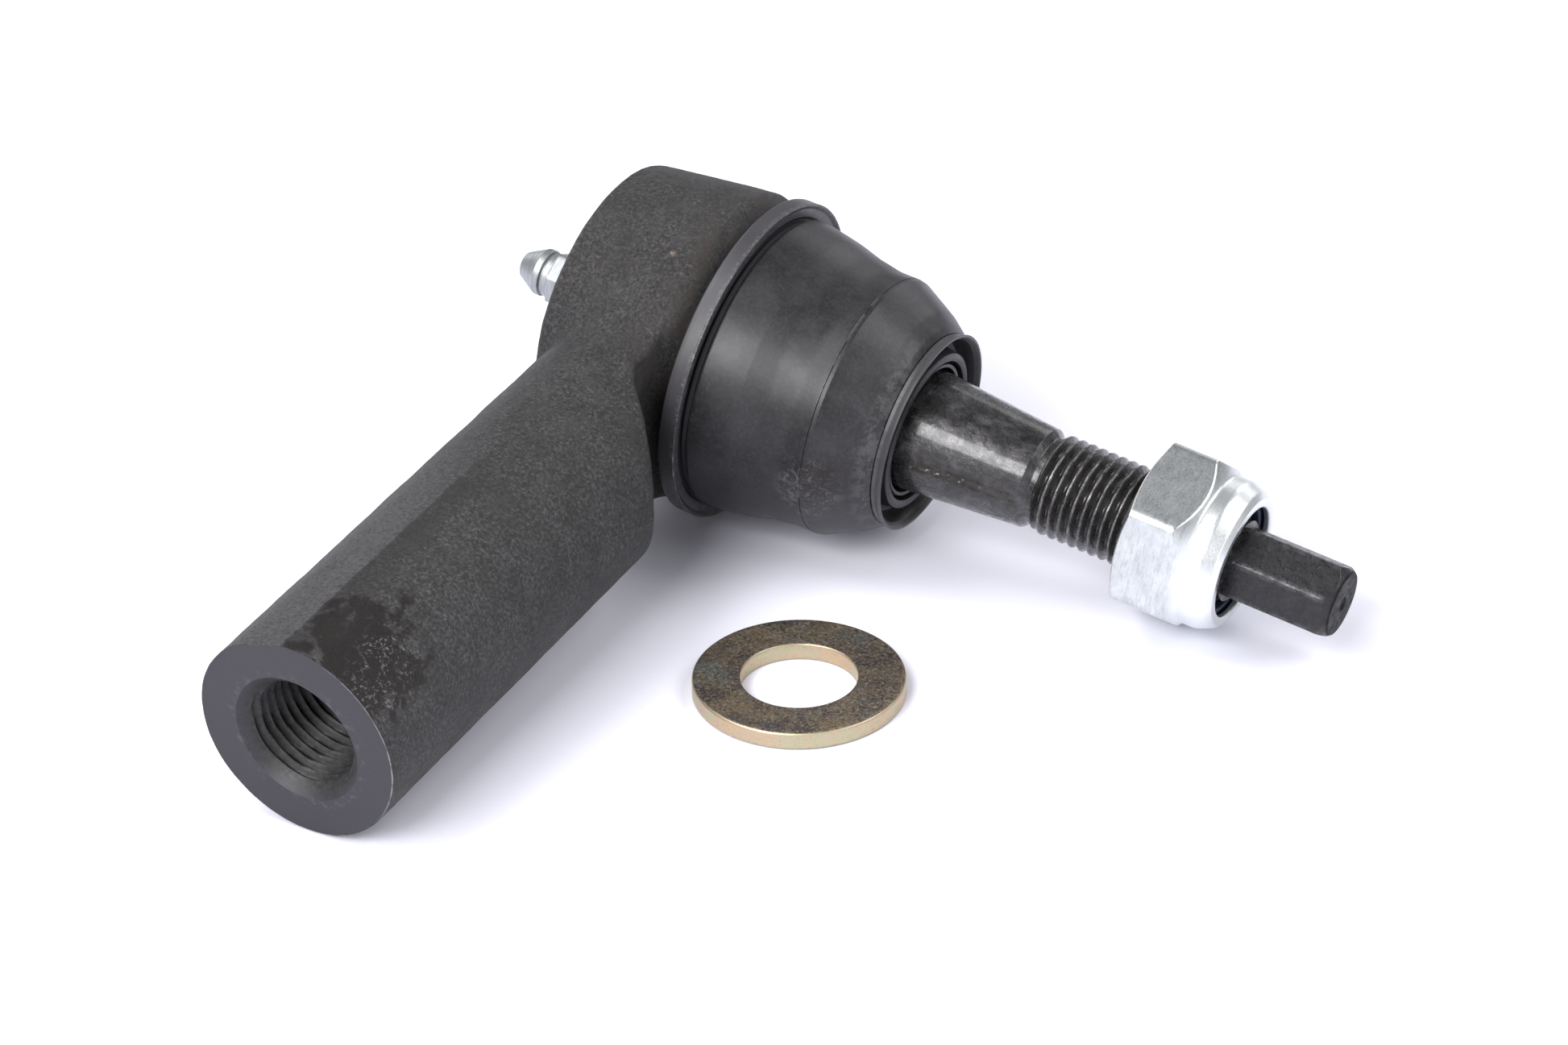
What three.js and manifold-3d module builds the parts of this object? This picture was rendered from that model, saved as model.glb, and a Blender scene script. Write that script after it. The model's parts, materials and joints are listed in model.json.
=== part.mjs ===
// Tie rod end: a forged housing with a threaded shank, a greasable ball joint with its tapered
// ball stud, a rubber boot, a nylon-insert lock nut, and the loose flat washer that goes with it.
//
// Row frame: millimetres, +Z up, standing on Z = 0. Each piece of the tie rod end is drawn in the
// joint's own frame, with its origin at the centre of the ball: +X along the stud towards its
// threaded end, -Y along the shank, +Z up. That frame then leans as the part does at rest.
import * as THREE from "three";
import { mergeVertices } from "three/addons/utils/BufferGeometryUtils.js";
import Module from "manifold-3d";

const wasm = await Module();
wasm.setup();

// ---- driving dimensions, mm (x = distance along the stud's axis from the ball's centre) --------
const STUD_LEAN = THREE.MathUtils.degToRad(8.8); // the stud's end points down by this
const SHANK_LEAN = THREE.MathUtils.degToRad(5.2); // the shank's free end points down by this
const GAP = 0.3; // between pieces that touch or slide

const BALL_R = 13.5;
const HEAD_BACK_X = -16, HEAD_BACK_R = 19.9;
const HEAD_BULGE_R = 22.3, HEAD_FACE_X = 5.7;
const NOSE_R = 17.3, NOSE_X = 10.6;
const BORE_R = 16.5, SHOULDER_X = 8.9, MOUTH_R = 10.45;
const RECESS_R = 17.2, RECESS_BACK_X = -15.2, RECESS_FRONT_X = -13.2;
const PLATE_T = 1.5, BOSS_FRONT_X = -17.5;
const SEAT_BACK_X = -11.4, SEAL_WIRE_R = 0.7;

const SHANK_R = 14.4, SHANK_END = 98.1, SHANK_DROP = 0.9;
const SHANK_CUT_R = 36.5; // where the clearance cone for the boot leaves the shank's side
const TAP_R = 7.1, TAP_CHAMFER_R = 9.05, TAP_DEPTH = 55;

const NECK_R = 6.1;
const TAPER_START_X = 30, TAPER_END_X = 51.8, TAPER_END_R = 7.0, TAPER_SLOPE = 1 / 12;
const THREAD_R = 6.9, THREAD_START_X = 53.9, THREAD_END_X = 80.2;
const DRIVE_AF = 9.5, DRIVE_START_X = 81.4, DRIVE_END_X = 96.5, DRIVE_TURN_DEG = 5.2;

const NUT_AF = 22, NUT_BACK_X = 68, NUT_H = 14, NUT_BORE_R = THREAD_R + GAP;
const NUT_HEX_H = 8.6, NUT_COLLAR_R = 10.4, NUT_TURN_DEG = 12.2;

const RING_BACK_X = 6, RING_FRONT_X = 8.5, RING_R = 22.93;
const RIDGE_X = 25.4, RIDGE_R = 18.6, WALL = 2;
const LIP_BACK_X = 33.5, LIP_FRONT_X = 35.2, LIP_R = 14.1;

const FITTING_SEAT_X = -19.8, FITTING_THREAD_R = 3.1, FITTING_HEAD_R = 3.35;
const FITTING_HEX_AF = 7, FITTING_PASSAGE_R = 1.5, CHECK_BALL_R = 1.2;

const WASHER_R = 14, WASHER_HOLE_R = 7.6, WASHER_T = 2.4;
const WASHER_OFFSET = { x: 36.25, y: -39.14 }; // from the ball's centre, in the row frame

// ---- solids ------------------------------------------------------------------------------------
// A geometry as a manifold solid: shared vertices joined, empty faces dropped, faces outwards.
function toSolid(geometry) {
  const bare = geometry.index ? geometry.toNonIndexed() : geometry.clone();
  bare.deleteAttribute("normal");
  bare.deleteAttribute("uv");
  const merged = mergeVertices(bare, 1e-4);
  const index = merged.index.array;
  const faces = [];
  for (let i = 0; i < index.length; i += 3) {
    const [a, b, c] = [index[i], index[i + 1], index[i + 2]];
    if (a !== b && b !== c && c !== a) faces.push(a, b, c);
  }
  const vertProperties = new Float32Array(merged.attributes.position.array);
  const build = (list) => {
    const triVerts = new Uint32Array(list);
    return new wasm.Manifold(new wasm.Mesh({ numProp: 3, vertProperties, triVerts }));
  };
  const made = build(faces);
  return made.volume() > 0 ? made : build(faces.reverse());
}

function toGeometry(solid) {
  const mesh = solid.getMesh();
  const geometry = new THREE.BufferGeometry();
  geometry.setAttribute("position", new THREE.BufferAttribute(mesh.vertProperties, 3));
  geometry.setIndex(new THREE.BufferAttribute(mesh.triVerts, 1));
  geometry.computeVertexNormals();
  return geometry;
}

// A profile of [x, r] points turned about the X axis; closed on itself unless it meets the axis.
function turned(profile, segments = 36) {
  const points = profile.map(([x, r]) => new THREE.Vector2(r, x));
  const meetsAxis = profile[0][1] === 0;
  if (!meetsAxis) points.push(points[0].clone());
  return toSolid(new THREE.LatheGeometry(points, segments).rotateZ(-Math.PI / 2));
}

// A hexagonal bar along X from x0 to x1, with one corner turned by turnDeg from +Z towards +Y.
function hexBar(acrossFlats, x0, x1, turnDeg) {
  const bar = new THREE.CylinderGeometry(
    acrossFlats / Math.sqrt(3), acrossFlats / Math.sqrt(3), x1 - x0, 6, 1);
  bar.rotateZ(-Math.PI / 2).rotateX(THREE.MathUtils.degToRad(-turnDeg));
  return toSolid(bar.translate((x0 + x1) / 2, 0, 0));
}

// Points of an arc about (cx, 0), from angle a0 to a1 in degrees from +X.
function arc(cx, r, a0, a1, steps) {
  const points = [];
  for (let i = 0; i <= steps; i++) {
    const a = THREE.MathUtils.degToRad(a0 + ((a1 - a0) * i) / steps);
    points.push([cx + r * Math.cos(a), r * Math.sin(a)]);
  }
  return points;
}

// A closed ring of round wire about the X axis.
function wireRing(x, ringR, wireR) {
  return toSolid(new THREE.TorusGeometry(ringR, wireR, 8, 36).rotateY(Math.PI / 2).translate(x, 0, 0));
}

// Angle, seen from the ball's centre, at which a sphere of radius r reaches distance d from the axis.
const sphereAngle = (r, d) => THREE.MathUtils.radToDeg(Math.asin(d / r));

// ---- housing: the forged head, its nose and the threaded shank ----------------------------------
function housing() {
  const head = turned([
    [HEAD_BACK_X, 0], [HEAD_BACK_X, HEAD_BACK_R - 1], [HEAD_BACK_X + 1, HEAD_BACK_R],
    [-9, 20.9], [-3, HEAD_BULGE_R - 0.5], [1.5, HEAD_BULGE_R], [3.4, HEAD_BULGE_R - 0.5],
    [4.9, 20.6], [HEAD_FACE_X, 19.4], [HEAD_FACE_X, NOSE_R], [NOSE_X, NOSE_R], [NOSE_X, 0],
  ]);
  const bar = new THREE.CylinderGeometry(SHANK_R, SHANK_R, SHANK_END, 40, 1);
  const shank = toSolid(bar.translate(0, -SHANK_END / 2, -SHANK_DROP));
  const bootRoom = turned([
    [3.2, 0], [3.2, 27.5], [4.4, 29.8], [SHANK_R, SHANK_CUT_R], [SHANK_R + 6, SHANK_CUT_R],
    [SHANK_R + 6, 0],
  ]);
  const cavity = turned([
    [HEAD_BACK_X - 1, 0], [HEAD_BACK_X - 1, 15.6], [RECESS_BACK_X, 15.6],
    [RECESS_BACK_X, RECESS_R], [RECESS_FRONT_X, RECESS_R], [RECESS_FRONT_X, BORE_R],
    [SHOULDER_X, BORE_R], [SHOULDER_X, MOUTH_R], [NOSE_X + 1, MOUTH_R + 1.6], [NOSE_X + 1, 0],
  ]);
  const chamferDepth = TAP_CHAMFER_R - TAP_R;
  const tapProfile = [
    [1, 0], [1, TAP_CHAMFER_R + 1], [-chamferDepth, TAP_R], [-TAP_DEPTH, TAP_R],
    [-TAP_DEPTH - TAP_R * Math.tan(Math.PI / 6), 0],
  ].map(([depth, r]) => new THREE.Vector2(r, -SHANK_END - depth));
  const tap = toSolid(new THREE.LatheGeometry(tapProfile, 24).translate(0, 0, -SHANK_DROP));
  return head.add(shank.subtract(bootRoom)).subtract(cavity).subtract(tap);
}

// ---- what closes the socket and holds the ball ---------------------------------------------------
// A domed steel plate crimped into the back of the head, with a tapped hole for the fitting.
function endCoverPlate() {
  const rim = RECESS_R - GAP;
  const back = RECESS_BACK_X + GAP;
  return turned([
    [FITTING_SEAT_X, FITTING_THREAD_R + GAP], [FITTING_SEAT_X, 5.4], [-18.2, 11],
    [-16.4, 14.2], [back, 15.1], [back, rim], [back + PLATE_T, rim], [back + PLATE_T, 14.6],
    [-15.2, 13.5], [-16.7, 10.5], [-17.9, 6.5], [BOSS_FRONT_X, 5],
    [BOSS_FRONT_X, FITTING_THREAD_R + GAP],
  ]);
}

// A disc spring between the cover plate and the rear seat.
function preloadSpring() {
  return turned([[-17.1, 7.3], [-15.75, 12.2], [-15.15, 12], [-16.5, 7.1]], 36);
}

// The rear half of the bearing, with a grease hole through its middle.
function rearBallSeat() {
  const outer = BORE_R - GAP;
  const hole = 2;
  const ball = BALL_R + GAP;
  return turned([
    [-16.8, hole], [-16.8, 5], [-15.6, 7], [-14.5, 12.4], [SEAT_BACK_X, 13.8], [SEAT_BACK_X, outer],
    [-0.5, outer], ...arc(0, ball, 92.1, 180 - sphereAngle(ball, hole), 7),
  ]);
}

// A rubber ring squeezed between the cover plate's rim and the rear seat.
function coverSeal() {
  const middle = (RECESS_BACK_X + GAP + PLATE_T + SEAT_BACK_X) / 2;
  return wireRing(middle, 15.3, SEAL_WIRE_R);
}

// The front half of the bearing, which carries the load on the stud's side of the ball.
function frontBearing() {
  const outer = BORE_R - GAP;
  const ball = BALL_R + GAP;
  const front = SHOULDER_X - GAP;
  const frontAngle = THREE.MathUtils.radToDeg(Math.acos(front / ball));
  return turned([[front, outer], [0.5, outer], ...arc(0, ball, 87.9, frontAngle, 4)].reverse());
}

// ---- grease fitting ------------------------------------------------------------------------------
function greaseFitting() {
  const s = FITTING_SEAT_X - 0.1;
  const head = FITTING_HEAD_R;
  const body = turned([
    [s + 2.6, 0], [s + 2.6, FITTING_THREAD_R - 0.4], [s + 2.2, FITTING_THREAD_R],
    [s, FITTING_THREAD_R], [s - 4.4, FITTING_THREAD_R], [s - 4.6, head - 0.15],
    [s - 5.3, head - 0.15], [s - 5.4, head - 0.45], [s - 5.6, head - 0.45], [s - 5.7, head],
    [s - 6.6, head], [s - 9, 2.1], [s - 9.6, 1.7], [s - 9.6, 0],
  ], 20);
  const hex = hexBar(FITTING_HEX_AF, s - 4.2, s, 0);
  const passage = turned([
    [s + 5, 0], [s + 5, FITTING_PASSAGE_R], [s - 8.6, FITTING_PASSAGE_R], [s - 9.1, 0.9],
    [s - 10, 0.9], [s - 10, 0],
  ], 12);
  return body.add(hex).subtract(passage);
}

function fittingCheckBall() {
  const x = FITTING_SEAT_X - 7.4;
  return turned(arc(x, CHECK_BALL_R, 180, 0, 6).map(([px, r]) => [px, Math.max(r, 0)]), 12);
}

// The coil spring behind the check ball, drawn as the sleeve that its turns fill.
function fittingSpring() {
  const front = FITTING_SEAT_X - 5.2;
  return turned([[front, 0.7], [front, 1.15], [front + 5, 1.15], [front + 5, 0.7]], 12);
}

// ---- ball stud -----------------------------------------------------------------------------------
function ballStud() {
  const taperStart = TAPER_END_R + (TAPER_END_X - TAPER_START_X) * TAPER_SLOPE;
  const neckAngle = sphereAngle(BALL_R, NECK_R);
  const driveCorner = DRIVE_AF / Math.sqrt(3);
  const round = turned([
    ...arc(0, BALL_R, 180, neckAngle, 12).map(([x, r], i) => [x, i ? r : 0]),
    [17, NECK_R], [24, 7], [TAPER_START_X - 1, taperStart - 0.3], [TAPER_START_X, taperStart],
    [TAPER_END_X, TAPER_END_R], [TAPER_END_X + 0.8, 6.3], [THREAD_START_X - 0.4, 6.3],
    [THREAD_START_X, THREAD_R], [THREAD_END_X - 0.8, THREAD_R], [THREAD_END_X + 0.2, 5.6],
    [DRIVE_START_X, 5], [DRIVE_START_X + 1, 4], [DRIVE_START_X + 1, 0],
  ], 32);
  const bar = hexBar(DRIVE_AF, THREAD_END_X - 0.5, DRIVE_END_X, DRIVE_TURN_DEG);
  const chamfer = turned([
    [THREAD_END_X - 1, 0], [THREAD_END_X - 1, driveCorner + 1], [DRIVE_END_X - 1.7, driveCorner],
    [DRIVE_END_X, 4.35], [DRIVE_END_X, 0],
  ], 24);
  const centreHole = turned([[DRIVE_END_X - 1.6, 0], [DRIVE_END_X + 0.2, 1.6], [DRIVE_END_X + 0.2, 0]], 16);
  return round.add(bar.intersect(chamfer)).subtract(centreHole);
}

// ---- lock nut --------------------------------------------------------------------------------------
function lockNut() {
  const front = NUT_BACK_X + NUT_H;
  const corner = NUT_AF / Math.sqrt(3);
  const hex = hexBar(NUT_AF, NUT_BACK_X, front, NUT_TURN_DEG);
  const envelope = turned([
    [NUT_BACK_X, 0], [NUT_BACK_X, NUT_AF / 2 - 0.2], [NUT_BACK_X + 1, corner],
    [NUT_BACK_X + NUT_HEX_H - 1.6, corner], [NUT_BACK_X + NUT_HEX_H + 0.6, NUT_COLLAR_R],
    [front - 2.4, NUT_COLLAR_R], [front - 0.8, 9.7], [front, 8.6], [front, 0],
  ]);
  const bore = turned([
    [NUT_BACK_X - 1, 0], [NUT_BACK_X - 1, NUT_BORE_R + 1.6], [NUT_BACK_X + 0.9, NUT_BORE_R],
    [front - 4, NUT_BORE_R], [front - 4, 9.2], [front - 0.9, 9.2], [front - 0.9, 7.7],
    [front + 1, 7.7], [front + 1, 0],
  ], 28);
  return hex.intersect(envelope).subtract(bore);
}

function nutNylonInsert() {
  const back = NUT_BACK_X + NUT_H - 4 + GAP;
  const front = NUT_BACK_X + NUT_H - 0.9 - GAP;
  return turned([[back, NUT_BORE_R], [back, 8.9], [front, 8.9], [front, NUT_BORE_R]].reverse(), 28);
}

// ---- rubber boot: flange, sleeve, cone and lip of one moulding, with its two steel inserts --------
function bootBaseRing() {
  const inner = NOSE_R + GAP;
  const slot = 21.3;
  return turned([
    [RING_BACK_X, inner], [RING_BACK_X, RING_R], [RING_FRONT_X, RING_R], [RING_FRONT_X, inner],
    [RING_FRONT_X - GAP, inner], [RING_FRONT_X - GAP, slot], [RING_BACK_X + 0.6, slot],
    [RING_BACK_X + 0.6, inner],
  ], 48);
}

function bootBaseInsert() {
  const inner = NOSE_R + 2 * GAP;
  return turned([[6.9, inner], [6.9, 21], [7.9, 21], [7.9, inner]]);
}

// The wire ring that grips the nose under the boot's base.
function bootBaseClip() {
  return wireRing(9.6, NOSE_R + 0.85, 0.5);
}

function bootSleeve() {
  const base = RING_FRONT_X + GAP;
  const outer = [[base, 21.2], [12.9, 20.45], [18.7, 19.1], [22.4, 18.55], [RIDGE_X - GAP, RIDGE_R]];
  const inner = outer.map(([x, r]) => [x, r - WALL]).reverse();
  return turned([...outer, ...inner]);
}

function bootCone() {
  const outer = [[RIDGE_X, RIDGE_R], [26.5, 18.35], [LIP_BACK_X, LIP_R]];
  const inner = outer.map(([x, r]) => [x, r - WALL]).reverse();
  return turned([...outer, ...inner]);
}

function bootLipSeal() {
  const studR = TAPER_END_R + (TAPER_END_X - LIP_BACK_X + 2) * TAPER_SLOPE;
  const lip = studR + GAP;
  const back = LIP_BACK_X + GAP;
  return turned([
    [31.6, lip], [31.6, 9.9], [34.2, 9.9], [34.2, 11.2], [back, 11.2], [back, LIP_R],
    [LIP_FRONT_X, LIP_R], [LIP_FRONT_X, 12.8], [LIP_FRONT_X - 0.4, 12.4],
    [LIP_FRONT_X - 0.4, lip],
  ], 32);
}

function bootLipInsert() {
  return turned([[32.2, 10.2], [32.2, 10.9], [33.9, 10.9], [33.9, 10.2]], 28);
}

// ---- loose washer ----------------------------------------------------------------------------------
function flatWasher() {
  const bevel = 0.3;
  const flat = new THREE.LatheGeometry([
    [WASHER_HOLE_R, 0], [WASHER_R - bevel, 0], [WASHER_R, bevel], [WASHER_R, WASHER_T - bevel],
    [WASHER_R - bevel, WASHER_T], [WASHER_HOLE_R, WASHER_T], [WASHER_HOLE_R, 0],
  ].map(([r, z]) => new THREE.Vector2(r, z)), 40);
  return toSolid(flat.rotateX(Math.PI / 2));
}

// ---- materials -------------------------------------------------------------------------------------
const FINISH = {
  forging: { color: 0x4b4a46, roughness: 0.62, metalness: 0.55 },
  plate: { color: 0x55534e, roughness: 0.5, metalness: 0.8 },
  springSteel: { color: 0x5c5a57, roughness: 0.4, metalness: 0.9 },
  bearing: { color: 0xd9d4c4, roughness: 0.5, metalness: 0 },
  blackSteel: { color: 0x2a2a2b, roughness: 0.35, metalness: 0.8 },
  brightZinc: { color: 0xc6cbd0, roughness: 0.28, metalness: 0.95 },
  yellowZinc: { color: 0x8a7d4e, roughness: 0.35, metalness: 0.9 },
  nylon: { color: 0x1f2a44, roughness: 0.45, metalness: 0 },
  rubber: { color: 0x3b3a3d, roughness: 0.6, metalness: 0 },
};

function piece(name, solid, finish) {
  const mesh = new THREE.Mesh(toGeometry(solid), new THREE.MeshStandardMaterial(FINISH[finish]));
  mesh.name = name;
  return mesh;
}

// ---- assembly --------------------------------------------------------------------------------------
const joint = new THREE.Group();
joint.rotation.set(SHANK_LEAN, STUD_LEAN, 0, "YXZ");
joint.add(
  piece("housing", housing(), "forging"),
  piece("end_cover_plate", endCoverPlate(), "plate"),
  piece("cover_seal", coverSeal(), "rubber"),
  piece("preload_spring", preloadSpring(), "springSteel"),
  piece("rear_ball_seat", rearBallSeat(), "bearing"),
  piece("front_bearing", frontBearing(), "bearing"),
  piece("grease_fitting", greaseFitting(), "brightZinc"),
  piece("fitting_check_ball", fittingCheckBall(), "springSteel"),
  piece("fitting_spring", fittingSpring(), "springSteel"),
  piece("ball_stud", ballStud(), "blackSteel"),
  piece("lock_nut", lockNut(), "brightZinc"),
  piece("nut_nylon_insert", nutNylonInsert(), "nylon"),
  piece("boot_base_ring", bootBaseRing(), "rubber"),
  piece("boot_base_insert", bootBaseInsert(), "plate"),
  piece("boot_base_clip", bootBaseClip(), "springSteel"),
  piece("boot_sleeve", bootSleeve(), "rubber"),
  piece("boot_cone", bootCone(), "rubber"),
  piece("boot_lip_seal", bootLipSeal(), "rubber"),
  piece("boot_lip_insert", bootLipInsert(), "plate"),
);

const washer = piece("flat_washer", flatWasher(), "yellowZinc");
washer.position.set(WASHER_OFFSET.x, WASHER_OFFSET.y, 0);

// The joint stands on its boot's flange, its shank's end and its nut; the origin is then moved to
// the middle of the whole part's box, at the bottom.
joint.updateMatrixWorld(true);
joint.position.z = -new THREE.Box3().setFromObject(joint, true).min.z;
const group = new THREE.Group();
group.add(joint, washer);
group.updateMatrixWorld(true);
const middle = new THREE.Box3().setFromObject(group, true).getCenter(new THREE.Vector3());
for (const item of [joint, washer]) {
  item.position.x -= middle.x;
  item.position.y -= middle.y;
}

export default group;
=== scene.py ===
"""Looks of the tie rod end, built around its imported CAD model.

Pieces are drawn in the joint's own frame, in millimetres: the origin is the ball's centre, +X runs
along the stud to its threaded end, -Y along the shank and +Z up. JOINT takes that frame to the row
frame in metres. The loose washer is drawn about its own axis in the same way.
"""
import json
import math

import bmesh
import bpy
import numpy as np
import openvdb
from mathutils import Matrix, Vector, noise


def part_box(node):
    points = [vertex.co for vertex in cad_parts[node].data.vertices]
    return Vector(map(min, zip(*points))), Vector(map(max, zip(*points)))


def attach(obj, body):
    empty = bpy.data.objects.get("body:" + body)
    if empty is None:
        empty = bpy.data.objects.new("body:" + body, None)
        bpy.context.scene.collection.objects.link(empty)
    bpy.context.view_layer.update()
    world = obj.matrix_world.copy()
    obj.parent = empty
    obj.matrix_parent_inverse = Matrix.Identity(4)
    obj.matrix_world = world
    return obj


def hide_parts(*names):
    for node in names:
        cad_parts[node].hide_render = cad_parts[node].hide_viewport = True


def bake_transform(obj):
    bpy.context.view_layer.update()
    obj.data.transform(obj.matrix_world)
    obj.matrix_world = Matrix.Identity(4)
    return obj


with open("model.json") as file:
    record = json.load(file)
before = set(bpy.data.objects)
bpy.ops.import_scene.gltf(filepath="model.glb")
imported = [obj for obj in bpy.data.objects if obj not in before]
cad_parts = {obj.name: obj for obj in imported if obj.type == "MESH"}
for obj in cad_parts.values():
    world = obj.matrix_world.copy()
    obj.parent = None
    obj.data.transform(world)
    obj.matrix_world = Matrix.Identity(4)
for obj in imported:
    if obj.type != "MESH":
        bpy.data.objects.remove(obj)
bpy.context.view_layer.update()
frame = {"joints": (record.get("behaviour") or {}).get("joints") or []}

# ---- the frame ----------------------------------------------------------------------------------
MM = 0.001
JOINTS = {joint["name"]: joint for joint in frame["joints"]}
BALL_CENTRE = Vector(JOINTS["stud_spin"]["pos_m"])
AXES = [Vector(JOINTS[name]["axis"]) for name in ("stud_spin", "stud_swing_length", "stud_swing_side")]
JOINT = Matrix.Translation(BALL_CENTRE) @ Matrix(AXES).transposed().to_4x4() @ Matrix.Scale(MM, 4)
WASHER_LOW, WASHER_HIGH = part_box("flat_washer")

# ---- driving dimensions, mm (x = distance along the stud's axis from the ball's centre) -----------
GAP = 0.3
BALL_R = 13.5
HEAD_BACK_X, HEAD_BACK_R = -16.0, 19.9
HEAD_BULGE_R, HEAD_FACE_X = 22.25, 5.65
NOSE_R, NOSE_X = 17.25, 10.55
BORE_R, SHOULDER_X, MOUTH_R = 16.5, 8.9, 10.95
RECESS_R, RECESS_BACK_X, RECESS_FRONT_X = 17.2, -15.2, -13.2
SHANK_R, SHANK_END, SHANK_DROP = 14.35, 98.1, 0.9
LAND_ANGLE, LAND_DEPTH, LAND_FADE = math.radians(115), 0.5, (50.0, 92.0)
TAP_R, TAP_MAJOR_R, TAP_CHAMFER_R, TAP_DEPTH = 7.15, 8.0, 9.05, 55.0
PITCH = 1.5

NECK_R = 6.1
TAPER_START_X, TAPER_END_X, TAPER_END_R, TAPER_SLOPE = 30.0, 51.8, 7.0, 1 / 12
THREAD_R, THREAD_DEPTH, THREAD_START_X, THREAD_END_X = 6.9, 0.86, 53.9, 80.2
DRIVE_AF, DRIVE_START_X, DRIVE_END_X, DRIVE_TURN = 9.5, 81.4, 96.5, math.radians(5.2)
NUT_AF, NUT_BACK_X, NUT_H, NUT_BORE_R = 22.0, 68.0, 14.0, 7.2
NUT_HEX_H, NUT_COLLAR_R, NUT_TURN = 8.6, 10.4, math.radians(12.2)

RING_BACK_X, RING_FRONT_X, RING_R = 6.0, 8.5, 22.9
RIDGE_X, RIDGE_R, WALL = 25.4, 18.6, 2.0
LIP_BACK_X, LIP_FRONT_X, LIP_R = 33.5, 35.2, 14.1
FITTING_X = -19.9
WASHER_R, WASHER_HOLE_R, WASHER_T = 14.0, 7.6, 2.4


# ---- outlines -----------------------------------------------------------------------------------
def rounded(corners, closed=True, steps=5):
    """A line through corners (x, r) or (x, r, rounding); each rounded corner becomes an arc."""
    points = []
    count = len(corners)
    for i, corner in enumerate(corners):
        here = np.array(corner[:2], float)
        rounding = corner[2] if len(corner) > 2 else 0
        if not rounding or (not closed and i in (0, count - 1)):
            points.append(here)
            continue
        before = np.array(corners[i - 1][:2], float) - here
        after = np.array(corners[(i + 1) % count][:2], float) - here
        reach_before, reach_after = np.linalg.norm(before), np.linalg.norm(after)
        before, after = before / reach_before, after / reach_after
        half = math.acos(np.clip(before @ after, -1, 1)) / 2
        cut = min(rounding / math.tan(half), 0.49 * reach_before, 0.49 * reach_after)
        start, end = here + before * cut, here + after * cut
        for step in range(steps + 1):
            t = step / steps
            points.append((1 - t) ** 2 * start + 2 * t * (1 - t) * here + t ** 2 * end)
    return np.array(points)


def finer(points, step, closed=True):
    """The same line with no stretch longer than step."""
    following = np.roll(points, -1, axis=0) if closed else points[1:]
    made = []
    for a, b in zip(points, following):
        pieces = max(1, math.ceil(np.linalg.norm(b - a) / step))
        made += [a + (b - a) * k / pieces for k in range(pieces)]
    if not closed:
        made.append(points[-1])
    return np.array(made)


def arc(centre_x, radius, start, end, steps):
    """Points of an arc about (centre_x, 0), from angle start to end in degrees from +X."""
    angles = np.radians(np.linspace(start, end, steps + 1))
    return [(centre_x + radius * math.cos(a), abs(radius * math.sin(a))) for a in angles]


def circle(x, r, radius, steps=20):
    angles = np.linspace(0, 2 * math.pi, steps, endpoint=False)
    return np.array([(x + radius * math.cos(a), r + radius * math.sin(a)) for a in angles])


def soft_min(a, b, k):
    h = np.clip(0.5 + 0.5 * (b - a) / k, 0, 1)
    return b + (a - b) * h - k * h * (1 - h)


def hexagon(angle, across_flats, turn, corner_r):
    """Polar radius of a hexagon with one rounded corner at turn, from +Z towards +Y."""
    from_flat = (angle - turn) % (math.pi / 3) - math.pi / 6
    return soft_min(across_flats / 2 / np.cos(from_flat), corner_r, 0.25)


def thread(x, angle, crest_r, depth):
    """Polar radius of a screw thread of PITCH whose crests reach crest_r."""
    phase = (x / PITCH - angle / (2 * math.pi)) % 1
    rise = np.clip(np.abs(2 * phase - 1) * 1.3 - 0.1, 0, 1)
    return crest_r - depth * (1 - rise)


# ---- meshes -------------------------------------------------------------------------------------
def make_object(name, vertices, faces, sharp_angle=40):
    mesh = bpy.data.meshes.new(name)
    mesh.from_pydata(vertices, [], faces)
    shape = bmesh.new()
    shape.from_mesh(mesh)
    bmesh.ops.remove_doubles(shape, verts=shape.verts, dist=1e-4)
    bmesh.ops.recalc_face_normals(shape, faces=shape.faces)
    shape.to_mesh(mesh)
    shape.free()
    mesh.shade_smooth()
    mesh.set_sharp_from_angle(angle=math.radians(sharp_angle))
    made = bpy.data.objects.new(name, mesh)
    bpy.context.scene.collection.objects.link(made)
    return made


def lathe(name, outline, segments=96, shape=None, closed=True, sharp_angle=40):
    """An outline of (x, r) turned about X. shape(x, r, angle) may change the radius on the way round."""
    angles = np.linspace(0, 2 * math.pi, segments, endpoint=False)
    x, angle = np.meshgrid(outline[:, 0], angles, indexing="ij")
    r = np.repeat(outline[:, 1:2], segments, axis=1)
    if shape is not None:
        r = shape(x, r, angle)
    vertices = np.stack([x, r * np.sin(angle), r * np.cos(angle)], axis=-1).reshape(-1, 3)
    rows = len(outline)
    faces = []
    for i in range(rows if closed else rows - 1):
        this, following = i * segments, ((i + 1) % rows) * segments
        for j in range(segments):
            k = (j + 1) % segments
            faces.append((this + j, this + k, following + k, following + j))
    return make_object(name, vertices, faces, sharp_angle)


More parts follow.
